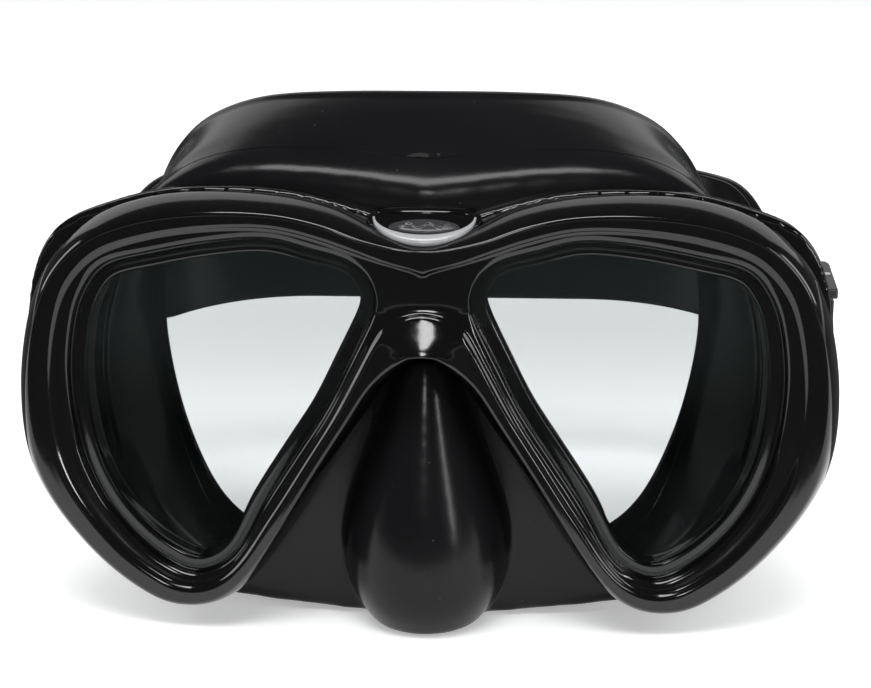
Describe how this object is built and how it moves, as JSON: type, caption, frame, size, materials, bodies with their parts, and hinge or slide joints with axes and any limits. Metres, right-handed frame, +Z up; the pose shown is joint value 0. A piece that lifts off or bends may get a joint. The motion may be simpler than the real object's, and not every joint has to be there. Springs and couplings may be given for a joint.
{
  "type": "diving mask",
  "caption": "Diving mask with a twin-window glossy frame, flat glass lenses, a soft skirt with nose pocket, swivel buckles with release levers and an adjustable rear strap.",
  "frame": {"origin": "centre of the whole mask's footprint, on the surface it stands on", "axes": "+X across the mask (left is -X), -Y towards the water in front of the lenses, +Y towards the wearer's head, +Z up"},
  "size_m": [0.1728, 0.1235, 0.1076],
  "materials": {
    "gloss_black": "polished injection-moulded plastic",
    "matte_black": "satin moulded plastic",
    "silicone": "glossy black silicone",
    "gasket_rubber": "smooth",
    "lens_glass": "clear tempered glass",
    "badge_grey": "polished light grey",
    "badge_dark": "satin dark grey with a raised wave",
    "steel": "passivated stainless steel",
    "spring_steel": "bright wire"
  },
  "bodies": {
    "mask": {"front_frame": "gloss_black", "rear_frame": "gloss_black", "frame_screws": "steel", "badge_plate": "gloss_black", "badge_ring": "badge_grey", "badge_disc": "badge_dark", "skirt": "silicone", "lens_left": "lens_glass", "lens_right": "lens_glass", "lens_gasket_left": "gasket_rubber", "lens_gasket_right": "gasket_rubber", "buckle_axle_left": "matte_black", "buckle_axle_right": "matte_black", "axle_cap_left": "gloss_black", "axle_cap_right": "gloss_black"},
    "strap_set": {"strap": "silicone", "buckle_body_left": "matte_black", "buckle_body_right": "matte_black", "roller_pin_left": "steel", "roller_pin_right": "steel", "lever_pin_left": "steel", "lever_pin_right": "steel", "lever_spring_left": "spring_steel", "lever_spring_right": "spring_steel"},
    "lever_left": {"release_lever_left": "matte_black"},
    "lever_right": {"release_lever_right": "matte_black"},
    "roller_left": {"roller_left": "matte_black"},
    "roller_right": {"roller_right": "matte_black"},
    "keeper_left": {"strap_keeper_left": "matte_black"},
    "keeper_right": {"strap_keeper_right": "matte_black"}
  },
  "joints": [
    {"name": "strap_swing", "type": "hinge", "parent": "mask", "child": "strap_set", "pos_m": [0, -0.03069, 0.0535], "axis": [1, 0, 0], "range_deg": [-25, 30]},
    {"name": "release_lever_left", "type": "hinge", "parent": "strap_set", "child": "lever_left", "pos_m": [-0.0846, -0.01179, 0.05549], "axis": [0, 0.1045, -0.9945], "range_deg": [0, 8], "stiffness_Nm_per_rad": 0.02, "springref_deg": -5.73},
    {"name": "release_lever_right", "type": "hinge", "parent": "strap_set", "child": "lever_right", "pos_m": [0.0846, -0.01179, 0.05549], "axis": [0, -0.1045, 0.9945], "range_deg": [0, 8], "stiffness_Nm_per_rad": 0.02, "springref_deg": -5.73},
    {"name": "roller_spin_left", "type": "hinge", "parent": "strap_set", "child": "roller_left", "pos_m": [-0.0784, -0.01876, 0.05475], "axis": [0, -0.1045, 0.9945], "continuous": true},
    {"name": "roller_spin_right", "type": "hinge", "parent": "strap_set", "child": "roller_right", "pos_m": [0.0784, -0.01876, 0.05475], "axis": [0, -0.1045, 0.9945], "continuous": true},
    {"name": "keeper_slide_left", "type": "slide", "parent": "strap_set", "child": "keeper_left", "axis": [0, 0.9945, 0.1045], "range_m": [-0.003, 0.005]},
    {"name": "keeper_slide_right", "type": "slide", "parent": "strap_set", "child": "keeper_right", "axis": [0, 0.9945, 0.1045], "range_m": [-0.003, 0.005]}
  ]
}
